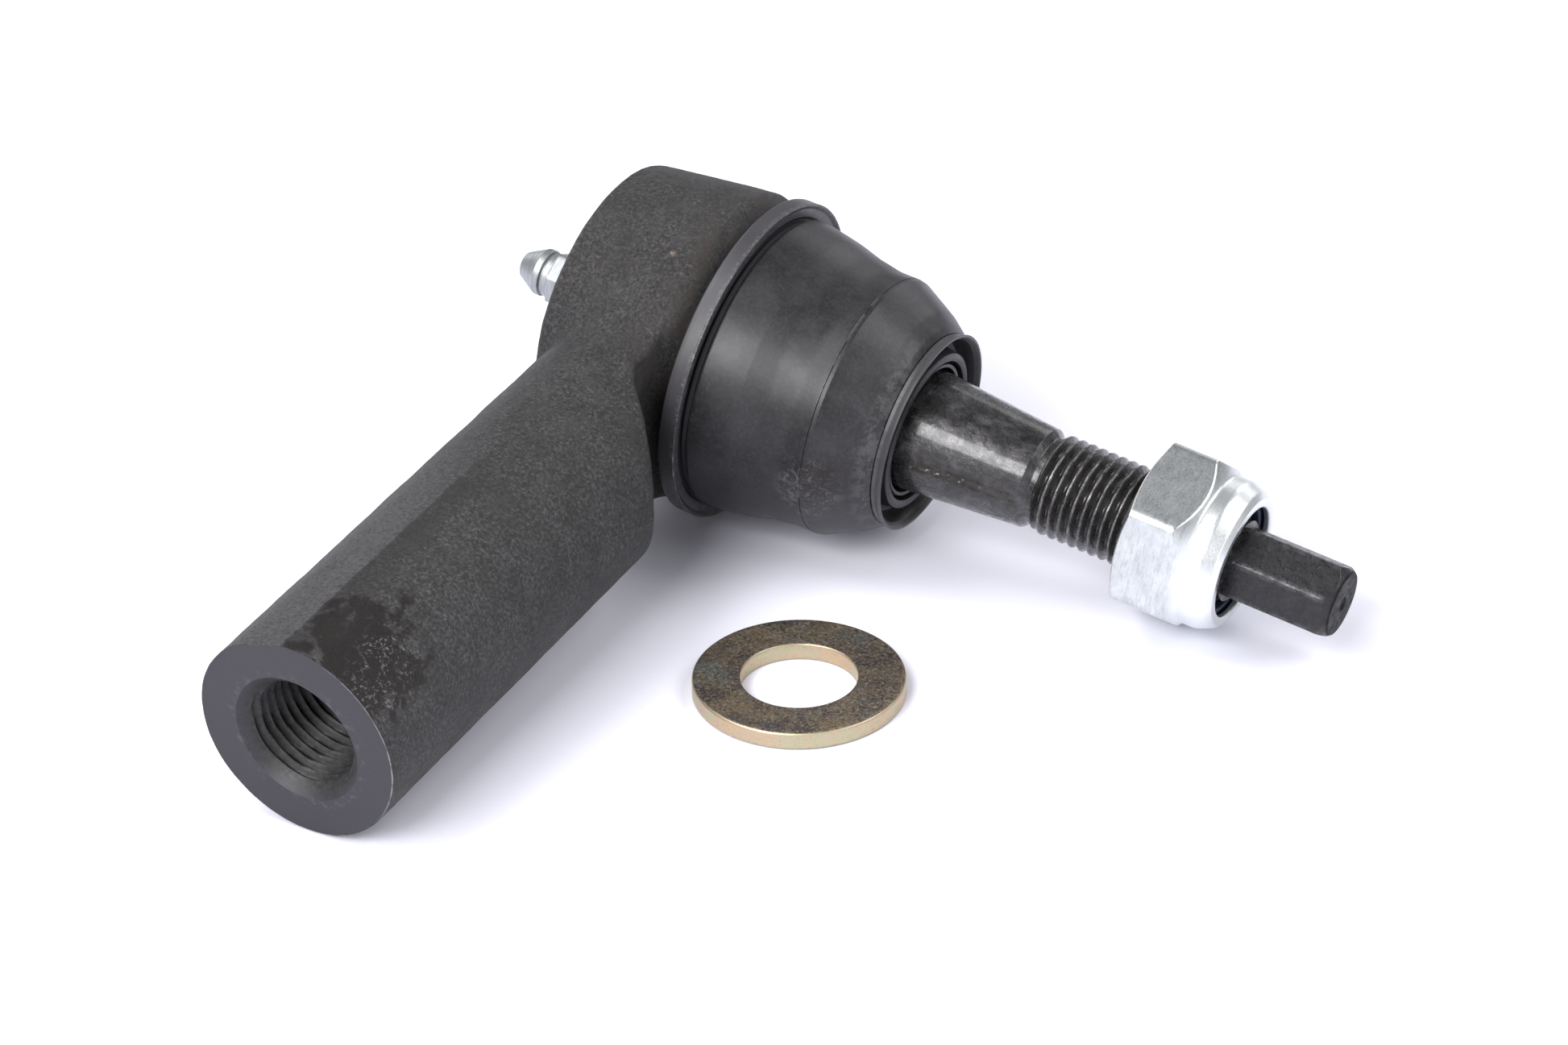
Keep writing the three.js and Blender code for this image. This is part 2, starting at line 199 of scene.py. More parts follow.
def tube(name, path, radius, sides=10):
    """A closed-ended round wire along path."""
    path = np.array(path, float)
    along = np.gradient(path, axis=0)
    along /= np.linalg.norm(along, axis=1)[:, None]
    across = np.cross(along, (1.0, 0.13, 0.07))
    across /= np.linalg.norm(across, axis=1)[:, None]
    third = np.cross(along, across)
    vertices, faces = [], []
    for i, point in enumerate(path):
        for j in range(sides):
            a = 2 * math.pi * j / sides
            vertices.append(point + radius * (across[i] * math.cos(a) + third[i] * math.sin(a)))
    for i in range(len(path) - 1):
        for j in range(sides):
            k = (j + 1) % sides
            faces.append((i * sides + j, i * sides + k, (i + 1) * sides + k, (i + 1) * sides + j))
    faces.append(tuple(range(sides)))
    faces.append(tuple((len(path) - 1) * sides + j for j in reversed(range(sides))))
    return make_object(name, vertices, faces)


def subtract(target, *cutters):
    for cutter in cutters:
        cut = target.modifiers.new("cut", "BOOLEAN")
        cut.operation, cut.solver, cut.object = "DIFFERENCE", "MANIFOLD", cutter
        apply_modifiers(target)
        bpy.data.objects.remove(cutter)


def apply_modifiers(target):
    graph = bpy.context.evaluated_depsgraph_get()
    made = bpy.data.meshes.new_from_object(target.evaluated_get(graph))
    target.modifiers.clear()
    target.data = made


def place(piece, material, slot, replaced, body, matrix=None):
    """Takes a finished piece to the row frame, and says what it is made of, replaces and rides on."""
    piece.data.transform(JOINT if matrix is None else matrix)
    if not piece.data.materials:
        piece.data.materials.append(material)
    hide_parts(replaced)
    if body:
        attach(piece, body)
    return piece


# ---- distance fields for the forging ---------------------------------------------------------------
def outline_distance(corners, x, r):
    """Signed distance from points (x, r) to a closed outline, negative inside."""
    nearest = np.full(x.shape, 1e9)
    inside = np.zeros(x.shape, bool)
    for (ax, ar), (bx, br) in zip(corners, np.roll(corners, -1, axis=0)):
        ex, er = bx - ax, br - ar
        t = np.clip(((x - ax) * ex + (r - ar) * er) / (ex * ex + er * er), 0, 1)
        nearest = np.minimum(nearest, (x - ax - t * ex) ** 2 + (r - ar - t * er) ** 2)
        crosses = (ar > r) != (br > r)
        side = x < ax + ex * (r - ar) / (er if er else 1e-9)
        inside ^= crosses & side
    return np.sqrt(nearest) * np.where(inside, -1, 1)


def forging_distance(x, y, z):
    """Signed distance to the forged blank: head and shank run together, relieved for the boot."""
    r = np.sqrt(y * y + z * z)
    head = outline_distance(rounded([
        (HEAD_BACK_X, -30), (HEAD_BACK_X, HEAD_BACK_R, 1.3), (-9, 20.9), (-3, HEAD_BULGE_R - 0.5, 8),
        (2.6, HEAD_BULGE_R + 0.1, 2.4), (4.9, 20.7, 1.5), (HEAD_FACE_X, 18), (HEAD_FACE_X, -30),
    ]), x, r)
    shank = np.sqrt(x * x + (z + SHANK_DROP) ** 2) - SHANK_R
    fade = np.clip((-y - LAND_FADE[0]) / (LAND_FADE[1] - LAND_FADE[0]), 0, 1)
    across_land = x * math.cos(LAND_ANGLE) + (z + SHANK_DROP) * math.sin(LAND_ANGLE)
    land = across_land - (SHANK_R - LAND_DEPTH * fade)
    shank = -soft_min(-shank, -land, 0.3)
    shank = np.maximum(shank, y)
    fillet = np.interp(x, (-14.5, -6.0), (0.8, 4.5))
    body = soft_min(head, shank, fillet)
    body = -soft_min(-body, x - HEAD_BACK_X, 0.8)
    room = outline_distance(np.array([
        (HEAD_FACE_X, -30), (HEAD_FACE_X, 18.0), (3.2, 22.4), (3.2, 27.5), (4.4, 29.8), (14.4, 36.5),
        (30, 36.5), (30, -30),
    ]), x, r)
    body = -soft_min(-body, room, 1.2)
    nose = np.maximum(np.maximum(r - NOSE_R, x - NOSE_X), -x)
    return np.minimum(body, nose)


def forged_blank(voxel=0.45):
    """The forging as a mesh, drawn past its sawn end, with the slight waviness of a die forging."""
    low, high = np.array((-18.0, -101.0, -25.0)), np.array((16.5, 25.0, 25.0))
    axes = [np.arange(a, b, voxel) for a, b in zip(low, high)]
    x, y, z = np.meshgrid(*axes, indexing="ij")
    field = openvdb.FloatGrid(1.0)
    field.copyFromArray(forging_distance(x, y, z).astype(np.float32))
    points, quads = field.convertToQuads(isovalue=0.0)
    points = low + voxel * np.array(points)
    blank = make_object("housing_forging", points.tolist(), quads.tolist())
    normals = [vertex.normal.copy() for vertex in blank.data.vertices]
    for vertex, normal in zip(blank.data.vertices, normals):
        wave = noise.noise(vertex.co * 0.22) * 0.07 + noise.noise(vertex.co * 0.9) * 0.035
        vertex.co += normal * (wave - 0.14)
    return blank


# ---- materials ----------------------------------------------------------------------------------
class Nodes:
    """A material's node tree, with short calls for the nodes that the materials share."""

    def __init__(self, name, **surface):
        self.material = bpy.data.materials.new(name)
        self.material.use_nodes = True
        self.tree = self.material.node_tree
        self.shader = self.tree.nodes["Principled BSDF"]
        for socket, value in surface.items():
            self.shader.inputs[socket.replace("_", " ")].default_value = value
        self.place = self.joint_millimetres()

    def add(self, kind, **settings):
        node = self.tree.nodes.new(kind)
        for setting, value in settings.items():
            setattr(node, setting, value)
        return node

    def feed(self, socket, value):
        if isinstance(value, bpy.types.NodeSocket):
            self.tree.links.new(value, socket)
        else:
            socket.default_value = value

    def joint_millimetres(self):
        """Place on the piece at rest, in the joint's own frame and millimetres."""
        mapping = self.add("ShaderNodeMapping", vector_type="TEXTURE")
        place, turn, size = JOINT.decompose()
        mapping.inputs["Location"].default_value = place
        mapping.inputs["Rotation"].default_value = turn.to_euler()
        mapping.inputs["Scale"].default_value = size
        self.feed(mapping.inputs["Vector"], self.add("ShaderNodeTexCoord").outputs["Object"])
        return mapping.outputs["Vector"]

    def moved(self, by, scale=(1, 1, 1), turn=(0, 0, 0)):
        """The place seen from another origin, with lengths there divided by scale."""
        mapping = self.add("ShaderNodeMapping", vector_type="TEXTURE")
        self.feed(mapping.inputs["Vector"], self.place)
        mapping.inputs["Location"].default_value = by
        mapping.inputs["Rotation"].default_value = turn
        mapping.inputs["Scale"].default_value = scale
        return mapping.outputs["Vector"]

    def noise(self, scale, detail=4, roughness=0.55, place=None, distortion=0):
        node = self.add("ShaderNodeTexNoise")
        self.feed(node.inputs["Vector"], place or self.place)
        for socket, value in (("Scale", scale), ("Detail", detail), ("Roughness", roughness),
                              ("Distortion", distortion)):
            node.inputs[socket].default_value = value
        return node.outputs["Fac"]

    def between(self, value, low, high, to_low=0.0, to_high=1.0):
        """Value from low to high spread smoothly over to_low to to_high."""
        node = self.add("ShaderNodeMapRange", interpolation_type="SMOOTHSTEP")
        for socket, number in (("Value", value), ("From Min", low), ("From Max", high),
                               ("To Min", to_low), ("To Max", to_high)):
            self.feed(node.inputs[socket], number)
        return node.outputs["Result"]

    def math(self, operation, a, b=0.0):
        node = self.add("ShaderNodeMath", operation=operation)
        self.feed(node.inputs[0], a)
        self.feed(node.inputs[1], b)
        return node.outputs[0]

    def product(self, *factors):
        made = factors[0]
        for factor in factors[1:]:
            made = self.math("MULTIPLY", made, factor)
        return made

    def parts(self):
        """The place's x, y and z."""
        node = self.add("ShaderNodeSeparateXYZ")
        self.feed(node.inputs[0], self.place)
        return node.outputs

    def distance(self, place):
        """How far the place is from its own origin."""
        node = self.add("ShaderNodeVectorMath", operation="LENGTH")
        self.feed(node.inputs[0], place)
        return node.outputs["Value"]

    def mix(self, share, a, b):
        node = self.add("ShaderNodeMix", data_type="RGBA")
        for socket, value in zip((node.inputs[0], node.inputs[6], node.inputs[7]), (share, a, b)):
            self.feed(socket, (*value, 1) if isinstance(value, tuple) and len(value) == 3 else value)
        return node.outputs[2]

    def ramp(self, value, stops):
        node = self.add("ShaderNodeValToRGB")
        self.feed(node.inputs[0], value)
        elements = node.color_ramp.elements
        while len(elements) < len(stops):
            elements.new(0.5)
        for element, (place, colour) in zip(elements, stops):
            element.position, element.color = place, (*colour, 1)
        return node.outputs["Color"]

    def bump(self, *layers):
        """Layers of (height, strength, distance in mm), the first one lowest."""
        normal = None
        for height, strength, depth in layers:
            node = self.add("ShaderNodeBump")
            self.feed(node.inputs["Height"], height)
            node.inputs["Strength"].default_value = strength
            node.inputs["Distance"].default_value = depth * MM
            if normal is not None:
                self.feed(node.inputs["Normal"], normal)
            normal = node.outputs["Normal"]
        self.feed(self.shader.inputs["Normal"], normal)

    def finish(self, colour, roughness=None):
        self.feed(self.shader.inputs["Base Color"], colour)
        if roughness is not None:
            self.feed(self.shader.inputs["Roughness"], roughness)
        return self.material


def forged_black():
    """Dark phosphate on a rough forging: grainy, dusty, with a few nicks and an oil stain."""
    n = Nodes("forged_black", Metallic=0.2, Specular_IOR_Level=0.42)
    x, y, z = n.parts()
    grain = n.noise(2.1, 8, 0.88)
    mottle = n.noise(0.16, 4, 0.6)
    colour = n.ramp(grain, [(0.37, (0.011, 0.0104, 0.0103)), (0.5, (0.051, 0.0485, 0.0485)),
                            (0.62, (0.188, 0.181, 0.180))])
    colour = n.mix(n.between(mottle, 0.4, 0.7, 0, 0.4), colour, (0.026, 0.0238, 0.0228))
    # Painted light: a lighter patch on the head where it meets the shank, below the head's top, standing in
    # for light falling there.
    painted_light_patch = n.product(n.between(y, -26, -14, 0, 0.24), n.between(z, 20, 14), n.between(grain, 0.35, 0.55))
    colour = n.mix(painted_light_patch, colour, (0.135, 0.129, 0.126))
    # Lighter in patches over the upper surfaces, rising with height.
    lighter_on_top = n.product(n.between(z, 9, 14), n.between(n.noise(0.28, 5, 0.7), 0.45, 0.7, 0, 0.4))
    colour = n.mix(lighter_on_top, colour, (0.100, 0.097, 0.097))
    around = n.math("ADD", n.math("MULTIPLY", x, math.sin(LAND_ANGLE)),
                    n.math("MULTIPLY", n.math("ADD", z, SHANK_DROP), -math.cos(LAND_ANGLE)))
    # Painted highlight on the flat land along the top of the shank, with painted shade in a band beside it.
    on_top = n.product(n.between(z, 6, 9), n.between(y, -42, -70))
    land = n.product(on_top, n.between(around, 3.7, 3.3), n.between(around, -7.5, -4.5))
    colour = n.mix(n.product(land, n.between(grain, 0.40, 0.58, 0.05, 0.75)), colour, (0.150, 0.146, 0.150))
    painted_shade_beside_land = n.product(on_top, n.between(around, 3.3, 3.7), n.between(around, 8.5, 5.0))
    colour = n.mix(n.math("MULTIPLY", painted_shade_beside_land, 0.45), colour, (0.022, 0.0205, 0.0205))
    brown = n.product(n.between(x, -3, 4.5), n.between(n.noise(0.3, 3), 0.42, 0.62, 0, 0.7),
                      n.between(y, -28, -20))
    colour = n.mix(brown, colour, (0.078, 0.064, 0.053))
    oil_place = n.moved((6.0, -92.6, 12.0), (7.6, 9.2, 9.0), (0, 0, 0.35))
    oil_edge = n.math("ADD", n.distance(oil_place), n.between(n.noise(0.33, 5, 0.65), 0.3, 0.7, -0.45, 0.45))
    oil = n.between(oil_edge, 1.08, 0.78)
    colour = n.mix(n.math("MULTIPLY", oil, 0.97), colour, (0.0095, 0.0060, 0.0040))
    speckle_place = n.moved((8.6, -92.0, 11.0), (4.4, 8.0, 8.0), (0, 0, 0.2))
    speckle = n.product(n.between(n.distance(speckle_place), 1.15, 0.6),
                        n.between(n.noise(1.9, 4, 0.8), 0.53, 0.62), n.between(n.noise(0.4, 3), 0.40, 0.52))
    colour = n.mix(n.math("MULTIPLY", speckle, 0.8), colour, (0.30, 0.295, 0.29))
    dust = n.between(n.noise(1.7, 3, 0.6), 0.755, 0.78)
    colour = n.mix(n.math("MULTIPLY", dust, 0.5), colour, (0.28, 0.26, 0.25))
    for nick, size in (((-1.2, -9.5, 20.0), 0.55), ((-15.6, 8.2, 18.2), 0.7), ((2.2, -14.4, 17.6), 0.4)):
        chip = n.math("ADD", n.distance(n.moved(nick)), n.between(grain, 0.3, 0.7, -0.4, 0.4))
        colour = n.mix(n.between(chip, size, size - 0.3, 0, 0.9), colour, (0.46, 0.34, 0.25))
    roughness = n.between(grain, 0.3, 0.7, 0.44, 0.62)
    roughness = n.math("SUBTRACT", roughness, n.math("MULTIPLY", oil, 0.16))
    n.bump((n.noise(0.75, 4, 0.6), 0.7, 0.35), (grain, 1.0, 0.6), (n.noise(6, 3, 0.6), 0.7, 0.1))
    return n.finish(colour, roughness)


def machined_black():
    """The turned end face and the tapped bore: the same phosphate over a smooth cut."""
    n = Nodes("machined_black", Metallic=0.2, Specular_IOR_Level=0.42)
    x, y, z = n.parts()
    centred = n.moved((0, 0, -SHANK_DROP), (1, 1000, 1))
    radius = n.distance(centred)
    rings = n.add("ShaderNodeTexWave", wave_type="RINGS", rings_direction="SPHERICAL")
    n.feed(rings.inputs["Vector"], centred)
    rings.inputs["Scale"].default_value = 1.1
    rings.inputs["Distortion"].default_value = 0.4
    fine = n.noise(3.2, 4, 0.6)
    colour = n.ramp(fine, [(0.3, (0.023, 0.0218, 0.0258)), (0.7, (0.038, 0.036, 0.0415))])
    inside = n.product(n.between(y, -97.9, -96.6), n.between(radius, 9.0, 8.2))
    bore = n.ramp(n.noise(1.4, 5, 0.7), [(0.3, (0.008, 0.0076, 0.0076)), (0.7, (0.040, 0.0388, 0.0382))])
    colour = n.mix(inside, colour, bore)
    scuffed = n.product(n.between(radius, 8.6, 9.4), n.between(radius, 10.6, 9.6),
                        n.between(n.noise(0.9, 4, 0.7), 0.52, 0.66, 0, 0.35))
    colour = n.mix(scuffed, colour, (0.11, 0.107, 0.112))
    # Lighter broken band on the outer rim of the sawn end, on its upper right only: painted highlight where
    # the rim catches the light, over some edge wear.
    worn = n.product(n.between(radius, 13.95, 14.25), n.between(x, 2, 8), n.between(z, -9, -4),
                     n.between(n.noise(0.55, 3), 0.40, 0.56, 0.2, 0.8), n.between(y, -97.0, -97.8))
    colour = n.mix(worn, colour, (0.30, 0.295, 0.29))
    roughness = n.between(fine, 0.3, 0.7, 0.44, 0.56)
    n.bump((rings.outputs["Fac"], 0.1, 0.02), (fine, 0.2, 0.02))
    return n.finish(colour, roughness)


def boot_rubber():
    """Moulded chloroprene: satin, faintly clouded, with dust and scuffs low on the ridge."""
    n = Nodes("boot_rubber", Specular_IOR_Level=0.42)
    x, y, _ = n.parts()
    radius = n.distance(n.moved((0, 0, 0), (1000, 1, 1)))
    cloud = n.noise(0.16, 5, 0.62)
    fine = n.noise(2.0, 5, 0.75)
    colour = n.ramp(cloud, [(0.33, (0.0085, 0.0080, 0.0092)), (0.66, (0.0215, 0.0203, 0.0225))])
    colour = n.mix(n.between(fine, 0.42, 0.72, 0, 0.35), colour, (0.052, 0.050, 0.054))
    colour = n.mix(n.between(x, 9.2, 8.6, 0, 0.6), colour, (0.064, 0.061, 0.066))
    scuff_place = n.moved((26.0, -16.5, -2.5), (5.0, 6.0, 6.5))
    scuff = n.product(n.between(n.distance(scuff_place), 1.1, 0.5),
                      n.between(n.noise(0.55, 7, 0.85, distortion=1.2), 0.52, 0.57))
    colour = n.mix(n.math("MULTIPLY", scuff, 0.5), colour, (0.15, 0.146, 0.15))
    smudge = n.noise(0.25, 6, 0.75, distortion=0.8)
    handled = n.product(n.between(x, RIDGE_X - 1, 30), n.between(smudge, 0.5, 0.72))
    colour = n.mix(n.math("MULTIPLY", handled, 0.22), colour, (0.095, 0.092, 0.097))
    dusty = n.product(n.between(x, RING_FRONT_X - 0.75, RING_FRONT_X - 0.5),
                      n.between(x, RING_FRONT_X + 0.5, RING_FRONT_X), n.between(radius, 20.6, 21.0),
                      n.between(n.noise(1.8, 4, 0.8), 0.46, 0.66))
    colour = n.mix(n.math("MULTIPLY", dusty, 0.4), colour, (0.20, 0.195, 0.20))
    # Painted highlight: a broken light line along the moulding flash on the ridge.
    flash_painted_highlight = n.product(n.between(x, RIDGE_X - 0.22, RIDGE_X - 0.1),
                      n.between(x, RIDGE_X + 0.14, RIDGE_X + 0.04),
                      n.between(n.noise(0.2, 4, 0.7), 0.5, 0.62))
    colour = n.mix(n.math("MULTIPLY", flash_painted_highlight, 0.45), colour, (0.17, 0.165, 0.17))
    torn = n.product(n.between(x, RING_FRONT_X - 0.35, RING_FRONT_X - 0.15), n.between(radius, 22.5, 22.8),
                     n.between(n.noise(0.5, 5, 0.8), 0.56, 0.62))
    colour = n.mix(n.math("MULTIPLY", torn, 0.55), colour, (0.30, 0.29, 0.30))
    # Painted highlight: the lip's outer rim is a little lighter.
    rim = n.product(n.between(x, 33.5, 33.9), n.between(radius, 13.45, 13.6))
    colour = n.mix(n.math("MULTIPLY", rim, 0.45), colour, (0.085, 0.082, 0.086))
    chalky = n.product(n.between(x, 31.0, 32.5), n.between(x, 34.6, 33.8), n.between(radius, 13.3, 13.6),
                       n.between(n.noise(0.5, 5, 0.75), 0.44, 0.6), n.between(y, 2, -9))
    colour = n.mix(n.math("MULTIPLY", chalky, 0.2), colour, (0.17, 0.165, 0.17))
    dust = n.between(n.noise(1.7, 3, 0.6), 0.765, 0.79)
    colour = n.mix(n.math("MULTIPLY", dust, 0.35), colour, (0.22, 0.215, 0.22))
    roughness = n.between(cloud, 0.35, 0.65, 0.36, 0.45)
    n.bump((fine, 0.3, 0.05), (n.noise(9, 2), 0.25, 0.012))
    return n.finish(colour, roughness)


def black_oxide(name="black_oxide", oil=0.5):
    """Black oxide on turned steel under a coat of oil; thread crests and edges are worn bare."""
    n = Nodes(name, Metallic=0.55, Specular_IOR_Level=0.5, Coat_Weight=oil, Coat_Roughness=0.13)
    x = n.parts()[0]
    radius = n.distance(n.moved((0, 0, 0), (1000, 1, 1)))
    smear = n.noise(0.42, 6, 0.72, n.moved((0, 0, 0), (1.4, 1, 1)), 0.6)
    fine = n.noise(3.4, 5, 0.7)
    colour = n.ramp(smear, [(0.34, (0.0085, 0.0079, 0.0082)), (0.5, (0.028, 0.0265, 0.0272)),
                            (0.7, (0.088, 0.084, 0.086))])
    in_thread = n.product(n.between(x, THREAD_START_X - 0.6, THREAD_START_X),
                          n.between(x, THREAD_END_X, THREAD_END_X - 0.5))
    colour = n.mix(n.math("MULTIPLY", in_thread, 0.7), colour, (0.030, 0.028, 0.0275))
    crest = n.product(in_thread, n.between(radius, THREAD_R - 0.2, THREAD_R - 0.03),
                      n.between(n.noise(0.7, 4, 0.65), 0.36, 0.62, 0.05, 0.42))
    worn = n.mix(n.between(n.noise(0.4, 2), 0.55, 0.68), (0.26, 0.25, 0.25), (0.22, 0.17, 0.14))
    colour = n.mix(crest, colour, worn)
    drive = n.between(x, DRIVE_START_X, DRIVE_START_X + 0.5)
    colour = n.mix(n.math("MULTIPLY", drive, 0.85), colour, n.ramp(fine, [
        (0.3, (0.012, 0.0114, 0.0124)), (0.7, (0.030, 0.0287, 0.031))]))
    corner = n.product(drive, n.between(radius, 5.12, 5.34), n.between(n.noise(0.9, 4, 0.7), 0.36, 0.6))
    colour = n.mix(n.math("MULTIPLY", corner, 0.25), colour, (0.20, 0.195, 0.20))
    # Painted shade: the drive's end face is darkened, and made rougher, to show less light.
    end_face_painted_shade = n.between(x, DRIVE_END_X - 0.4, DRIVE_END_X - 0.15)
    colour = n.mix(n.math("MULTIPLY", end_face_painted_shade, 0.95), colour, (0.005, 0.0047, 0.0053))
    glint_place = n.moved((40.5, -8.3, 0.6), (8.5, 1.6, 0.75))
    glint = n.product(n.between(n.distance(glint_place), 1.1, 0.9),
                      n.between(n.noise(0.9, 5, 0.8), 0.6, 0.66))
    colour = n.mix(n.math("MULTIPLY", glint, 0.8), colour, (0.55, 0.54, 0.53))
    roughness = n.between(n.noise(1.0, 5, 0.75), 0.42, 0.58, 0.14, 0.44)
    roughness = n.math("ADD", roughness, n.math("MULTIPLY", drive, 0.12))
    roughness = n.math("ADD", roughness, n.math("MULTIPLY", end_face_painted_shade, 0.35))
    n.bump((n.noise(0.7, 5, 0.7), 0.7, 0.24), (fine, 0.5, 0.045))
    return n.finish(colour, roughness)


def bright_zinc():
    """Clear-passivated zinc plate, lightly frosted, with drag marks; the crimped collar is painted brighter
    as a sheen.
    """
    n = Nodes("bright_zinc", Metallic=1.0)
    cloud = n.noise(0.35, 4, 0.6)
    fine = n.noise(4, 5, 0.7)
    drag = n.noise(1.3, 6, 0.8, n.moved((0, 0, 0), (0.45, 2.4, 2.4)))
    x = n.parts()[0]
    colour = n.ramp(cloud, [(0.3, (0.53, 0.555, 0.555)), (0.7, (0.70, 0.722, 0.715))])
    colour = n.mix(n.between(fine, 0.55, 0.75, 0, 0.15), colour, (0.40, 0.42, 0.44))
    colour = n.mix(n.between(drag, 0.48, 0.6, 0, 0.45), colour, (0.37, 0.39, 0.395))
    # Painted sheen: the collar's colour is lifted towards white, and made a little rougher.
    collar_painted_sheen = n.between(x, NUT_BACK_X + NUT_HEX_H - 0.6, NUT_BACK_X + NUT_HEX_H + 0.6)
    colour = n.mix(n.math("MULTIPLY", collar_painted_sheen, 0.7), colour, (0.84, 0.865, 0.86))
    roughness = n.between(fine, 0.3, 0.7, 0.26, 0.38)
    roughness = n.math("ADD", roughness, n.math("MULTIPLY", collar_painted_sheen, 0.05))
    n.bump((n.noise(1.2, 4, 0.6), 0.25, 0.05), (fine, 0.4, 0.022), (drag, 0.5, 0.03))
    return n.finish(colour, roughness)


def turned_zinc():
    """The fitting's zinc plate over fine turning marks."""
    n = Nodes("turned_zinc", Metallic=1.0)
    fine = n.noise(4, 5, 0.7)
    marks = n.noise(2.2, 4, 0.6, n.moved((0, 0, 0), (0.25, 6, 6)))
    colour = n.ramp(marks, [(0.35, (0.28, 0.292, 0.297)), (0.65, (0.48, 0.497, 0.506))])
    roughness = n.between(fine, 0.3, 0.7, 0.44, 0.55)
    n.bump((marks, 0.35, 0.03), (fine, 0.3, 0.015))
    return n.finish(colour, roughness)


def yellow_zinc(name="yellow_zinc", flat=True):
    """Yellow chromate over zinc: olive-brown and dull on the flats, gold, pink and green on edges."""
    n = Nodes(name, Metallic=0.85)
    patch = n.noise(0.17, 5, 0.65)
    cool = n.noise(0.13, 5, 0.7, n.moved((9, 4, 2)))
    fine = n.noise(2.4, 6, 0.85)
    if flat:
        stops = [(0.3, (0.145, 0.114, 0.100)), (0.46, (0.248, 0.199, 0.148)), (0.62, (0.32, 0.246, 0.157))]
        colour = n.ramp(patch, stops)
        colour = n.mix(n.between(cool, 0.5, 0.66, 0, 0.75), colour, (0.200, 0.245, 0.245))
        plum = n.between(n.noise(0.15, 4, 0.6, n.moved((3, -7, 5))), 0.5, 0.64, 0, 0.7)
        colour = n.mix(plum, colour, (0.118, 0.095, 0.101))
        colour = n.mix(n.between(fine, 0.52, 0.62, 0, 0.9), colour, (0.52, 0.48, 0.41))
        colour = n.mix(n.between(fine, 0.47, 0.38, 0, 0.8), colour, (0.030, 0.024, 0.022))
    else:
        stops = [(0.3, (0.53, 0.41, 0.245)), (0.47, (0.50, 0.385, 0.27)), (0.56, (0.44, 0.42, 0.27)),
                 (0.66, (0.54, 0.36, 0.30))]
        colour = n.ramp(patch, stops)
        colour = n.mix(n.between(fine, 0.54, 0.66, 0, 0.55), colour, (0.27, 0.215, 0.15))
    roughness = n.between(fine, 0.3, 0.7, 0.34, 0.52)
    n.bump((fine, 0.4, 0.03), (n.noise(9, 2), 0.2, 0.01))
    return n.finish(colour, roughness)


def plain_steel(name, dark, light, rough):
    """Bare or lightly oiled steel of the pressed and wound parts."""
    n = Nodes(name, Metallic=0.95)
    streak = n.noise(1.2, 4, 0.6, n.moved((0, 0, 0), (0.4, 2, 2)))
    colour = n.ramp(streak, [(0.3, dark), (0.7, light)])
    roughness = n.between(streak, 0.3, 0.7, rough, rough + 0.15)
    n.bump((streak, 0.2, 0.03))
    return n.finish(colour, roughness)


def moulded_plastic(name, dark, light, rough):
    n = Nodes(name, Specular_IOR_Level=0.5)
    cloud = n.noise(0.5, 4, 0.6)
    colour = n.ramp(cloud, [(0.35, dark), (0.65, light)])
    roughness = n.between(cloud, 0.3, 0.7, rough, rough + 0.12)
    n.bump((n.noise(4, 3), 0.25, 0.03))
    return n.finish(colour, roughness)


# ---- pieces of the housing --------------------------------------------------------------------------
def housing(forged, machined):
    body = forged_blank()
    waste = 60
    end = lathe("end_cut", np.array([(0, 0), (0, waste), (waste, waste), (waste, 0)]), 48, closed=False)
    end.data.transform(Matrix.Translation((0, -SHANK_END, 0)) @ Matrix.Rotation(-math.pi / 2, 4, "Z"))
    chamfer_depth = TAP_CHAMFER_R - TAP_R
    tap_outline = finer(rounded([
        (-1, 0), (-1, TAP_CHAMFER_R + 1), (chamfer_depth, TAP_R), (TAP_DEPTH, TAP_R),
        (TAP_DEPTH + 4.1, 0),
    ], closed=False), 0.19, closed=False)
    deepest = TAP_DEPTH - 3

    def tapped(x, r, angle):
        cut = thread(x, angle, TAP_MAJOR_R, TAP_MAJOR_R - TAP_R)
        runs = (x > 0.2) & (x < deepest) & (r > TAP_R - 0.3)
        return np.where(runs, np.maximum(r, cut), r)

    tap = lathe("tap_cut", tap_outline, 72, tapped, closed=False)
    tap_axis = Matrix.Translation((0, -SHANK_END, -SHANK_DROP)) @ Matrix.Rotation(math.pi / 2, 4, "Z")
    tap.data.transform(tap_axis)
    socket = lathe("socket_cut", rounded([
        (HEAD_BACK_X - 1, 0), (HEAD_BACK_X - 1, 16.4), (HEAD_BACK_X + 0.5, 15.6, 0.4),
        (RECESS_BACK_X, 15.6), (RECESS_BACK_X, RECESS_R), (RECESS_FRONT_X, RECESS_R),
        (RECESS_FRONT_X, BORE_R), (SHOULDER_X, BORE_R), (SHOULDER_X, MOUTH_R),
        (NOSE_X + 1, MOUTH_R + 1.6), (NOSE_X + 1, 0),
    ], closed=False), 96, closed=False)
    subtract(body, end, tap, socket)
    mesh = body.data
    mesh.materials.clear()
    mesh.materials.append(forged)
    mesh.materials.append(machined)
    for face in mesh.polygons:
        x, y, z = face.center
        on_end = y < -SHANK_END + 0.05
        in_bore = y < -SHANK_END + TAP_DEPTH + 5 and math.hypot(x, z + SHANK_DROP) < TAP_CHAMFER_R
        in_socket = math.hypot(y, z) < NOSE_R + 0.1
        face.material_index = 1 if on_end or in_bore or in_socket else 0
    mesh.shade_smooth()
    mesh.set_sharp_from_angle(angle=math.radians(32))
    return place(body, forged, "forged_black", "housing", "housing")


